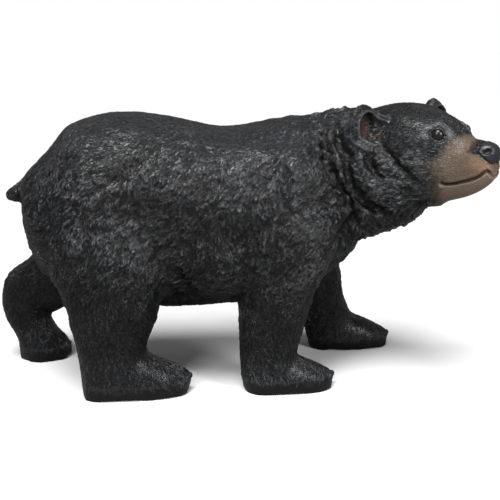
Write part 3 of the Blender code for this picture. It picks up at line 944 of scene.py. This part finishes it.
def furColour(tree, hairs, patches, specks):  # black, dry-brushed with grey on the ridges, with painted shade in folds and grooves and a painted sheen on the top
    ridge, back = share(tree, "ridge"), share(tree, "back")
    brushed = times(tree, ranged(tree, ridge, 0.2, 0.95, 0.06, 1.0), ranged(tree, hairs, 0.0, 1.0, 0.12, 1.0))
    amount = times(tree, addShares(tree, 1.0, brushAndLowShade), ranged(tree, patches, 0.3, 0.7, 0.45, 1.3))
    brushed = times(tree, brushed, amount)
    # painted sheen: grey specks on the upward-facing back and crown
    paintedTopSheen = times(tree, back, ranged(tree, specks, 0.35, 0.7, 0.03, 0.17))
    brushed = most(tree, brushed, paintedTopSheen)
    for name, least in brushAtLeast.items():
        brushed = most(tree, brushed, times(tree, share(tree, name), least))
    colour = mixed(tree, brushed, paint["black"], paint["brushed"])
    browHair = times(tree, share(tree, "brow"), ranged(tree, hairs, 0.0, 1.0, 0.1, 0.95))
    colour = mixed(tree, browHair, colour, paint["frost"])
    # painted shade: the folds, toe grooves, valleys between strokes and the eye's crease are painted darker
    # than the black, less on the top
    paintedShade = most(tree, share(tree, "deep"), ranged(tree, ridge, 0.22, 0.0, 0.0, 0.75))
    paintedShade = most(tree, paintedShade, share(tree, "crease"))
    paintedShadeShare = maths(tree, "MULTIPLY", paintedShade, maths(tree, "SUBTRACT", 1.0, back), clamp=True)
    return mixed(tree, paintedShadeShare, colour, paint["shadeAndLineBlack"])


def muzzleColour(tree, hairs, patches, specks):
    tone = mixed(tree, share(tree, "warm"), paint["tan"], paint["tanWarm"])
    tone = mixed(tree, ranged(tree, patches, 0.38, 0.62, 0.0, 0.35), tone, paint["tanDark"])
    tone = mixed(tree, ranged(tree, specks, 0.42, 0.62, 0.0, 0.25), tone, paint["tanDark"])
    tone = mixed(tree, ranged(tree, hairs, 0.1, 1.0, 0.3, 0.0), tone, paint["tanDark"])
    return mixed(tree, times(tree, share(tree, "lip"), 0.8), tone, paint["lip"])


# inside the ear: painted shade in the hollow, with the ear's own brown patch
def earBrownInShade(tree, hairs):
    tone = mixed(tree, ranged(tree, hairs, 0.0, 1.0, 0.45, 1.0), paint["shadeAndLineBlack"], paint["earBrown"])
    return mixed(tree, share(tree, "earBrown"), paint["shadeAndLineBlack"], tone)


def skinRelief(tree, hairs, grain):  # none on the nose and the eyes, less on the sole bands and the muzzle
    rest = maths(tree, "SUBTRACT", 1.0, most(tree, share(tree, "nose"), share(tree, "eye")), clamp=True)
    furRest = times(tree, rest, addShares(tree, 1.0, {"smooth": -0.8}))
    furRest = times(tree, furRest, addShares(tree, 1.0, {"tan": -0.6}))
    normal = bumped(tree, times(tree, hairs, furRest), 1.0, finish["hairDepth"])
    return bumped(tree, times(tree, grain, rest), 0.5, finish["grainDepth"], normal)


def paintBear():
    material = bpy.data.materials.new("brushedBlackResinWithPaintedLight")
    material.use_nodes = True
    tree = material.node_tree
    tree.nodes.clear()
    out = node(tree, "ShaderNodeOutputMaterial")
    shader = node(tree, "ShaderNodeBsdfPrincipled")
    tree.links.new(shader.outputs["BSDF"], out.inputs["Surface"])
    place = node(tree, "ShaderNodeTexCoord").outputs["Object"]
    hairs = hairLines(tree)
    patches = noise(tree, place, 16, 3, 0.6)
    specks = noise(tree, place, 420, 2, 0.6)
    grain = noise(tree, place, 900, 2, 0.5)

    colour = furColour(tree, hairs, patches, specks)
    tanShare = ranged(tree, share(tree, "tan"), 0.05, 0.95)
    colour = mixed(tree, tanShare, colour, muzzleColour(tree, hairs, patches, specks))
    colour = mixed(tree, times(tree, share(tree, "earHollow"), 0.95), colour, earBrownInShade(tree, hairs))
    # the mouth share paints the mouth line and painted shade in the nostrils
    for name, tone in (("nose", "nose"), ("mouth", "shadeAndLineBlack"), ("eye", "eye")):
        colour = mixed(tree, share(tree, name), colour, paint[tone])
    tree.links.new(colour, shader.inputs["Base Color"])

    shader.inputs["Specular IOR Level"].default_value = finish["specular"]
    rough = addShares(tree, ranged(tree, specks, 0.3, 0.7, *finish["rough"]), finish["rougher"])
    tree.links.new(rough, shader.inputs["Roughness"])
    grain = maths(tree, "ADD", grain, specks)
    tree.links.new(skinRelief(tree, hairs, grain), shader.inputs["Normal"])
    return material


def makeBear():
    skin = startSkin()
    data = skin.data
    points = readPoints(data)
    local = leanEar(setEyes(inHead(points)))
    points = headAt + fromHead(local)
    writePoints(data, points)
    normals = readNormals(data)
    grooves, claws, _ = toeShares(points)
    out = faceOffsets(local) + toeSizes["claw"] * claws - toeSizes["groove"] * grooves
    hollow, _, rim, _ = earShares(local, normals)
    out += earSizes["rim"] * rim - earSizes["deeper"] * hollow
    sole = np.clip(1 - points[:, 2] / soleSizes["height"], 0, 1) ** 2 * rise(0.6, 0.2, np.abs(normals[:, 2]))
    out -= soleSizes["round"] * sole
    writePoints(data, points + normals * out[:, None])
    stageDone("face and toes")
    coat = growCoat(data)
    coat["moved"] = readPoints(data)
    thinSkin(skin)
    keepInBox(skin.data)
    data = skin.data
    stageDone(f"thinned to {len(data.polygons)} faces")
    dressSkin(skin, coat)
    data.materials.append(paintBear())
    for face in data.polygons:
        face.use_smooth = True
    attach(skin, "root")
    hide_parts("bear")
    stageDone("bear dressed")


# Floor, light and camera.
studio = {
    "floor": (0.93, 0.93, 0.93, 1),
    "bounce": (0.2, 0.2, 0.2, 1),  # what the floor gives back to the bear
    "sky": 1.0,
    "skyOnBear": 0.15,
    "azimuth": -6.5,
    "elevation": 12.5,
    "distance": 1.7,
    "lens": 76.1,
    "sensor": 36,
    "target": (0.0305, 0.0239, 0.1973),
}
lamps = {
    "topSun": {"at": (-0.3, -0.7, 2.0), "towards": (0, 0, 0.2), "softness": 30, "power": 3.35},
    "leftBox": {"at": (-0.9, -1.5, 1.4), "towards": (0, 0, 0.25), "size": (0.6, 0.6), "power": 17},
    "rightBox": {"at": (1.1, -1.5, 1.1), "towards": (0.1, 0, 0.25), "size": (0.4, 0.9), "power": 18},
}


def layFloor():
    bpy.ops.mesh.primitive_plane_add(size=30, location=(0, 0, -0.0005))
    floor = bpy.context.object
    floor.name = "floor"
    bpy.ops.object.transform_apply(location=True, rotation=True, scale=True)
    material = bpy.data.materials.new("whiteFloor")
    material.use_nodes = True
    shader = material.node_tree.nodes["Principled BSDF"]
    tree = material.node_tree
    seen = node(tree, "ShaderNodeLightPath").outputs["Is Camera Ray"]
    tree.links.new(mixed(tree, seen, studio["bounce"], studio["floor"]), shader.inputs["Base Color"])
    shader.inputs["Roughness"].default_value = 0.9
    floor.data.materials.append(material)


def hangLamp(name, sizes):  # a sun where it has a softness, else a soft box
    if "softness" in sizes:
        lamp = bpy.data.lights.new(name, "SUN")
        lamp.angle = math.radians(sizes["softness"])
    else:
        lamp = bpy.data.lights.new(name, "AREA")
        lamp.shape = "RECTANGLE"
        lamp.size, lamp.size_y = sizes["size"]
    lamp.energy = sizes["power"]
    made = bpy.data.objects.new(name, lamp)
    bpy.context.scene.collection.objects.link(made)
    made.location = sizes["at"]
    made.rotation_euler = (Vector(sizes["towards"]) - Vector(sizes["at"])).to_track_quat("-Z", "Y").to_euler()


def hangSky():
    world = bpy.data.worlds.new("studioWorld")
    bpy.context.scene.world = world
    world.use_nodes = True
    tree = world.node_tree
    seen = tree.nodes["Background"]
    soft = node(tree, "ShaderNodeBackground")
    for sky, strength in ((seen, studio["sky"]), (soft, studio["skyOnBear"])):
        sky.inputs["Color"].default_value = (1, 1, 1, 1)
        sky.inputs["Strength"].default_value = strength
    either = node(tree, "ShaderNodeMixShader")
    tree.links.new(node(tree, "ShaderNodeLightPath").outputs["Is Camera Ray"], either.inputs[0])
    tree.links.new(soft.outputs[0], either.inputs[1])
    tree.links.new(seen.outputs[0], either.inputs[2])
    tree.links.new(either.outputs[0], tree.nodes["World Output"].inputs["Surface"])


def setCamera():
    lens = bpy.data.cameras.new("photoView")
    lens.lens, lens.sensor_width = studio["lens"], studio["sensor"]
    lens.clip_start, lens.clip_end = 0.05, 60
    camera = bpy.data.objects.new("photoView", lens)
    bpy.context.scene.collection.objects.link(camera)
    azimuth, elevation = math.radians(studio["azimuth"]), math.radians(studio["elevation"])
    level = math.cos(elevation)
    back = Vector((math.sin(azimuth) * level, -math.cos(azimuth) * level, math.sin(elevation)))
    camera.location = Vector(studio["target"]) + back * studio["distance"]
    camera.rotation_euler = (-back).to_track_quat("-Z", "Y").to_euler()
    bpy.context.scene.camera = camera


makeBear()
layFloor()
for name, sizes in lamps.items():
    hangLamp(name, sizes)
hangSky()
bpy.context.scene.view_settings.view_transform = "Standard"
setCamera()
stageDone("studio set")
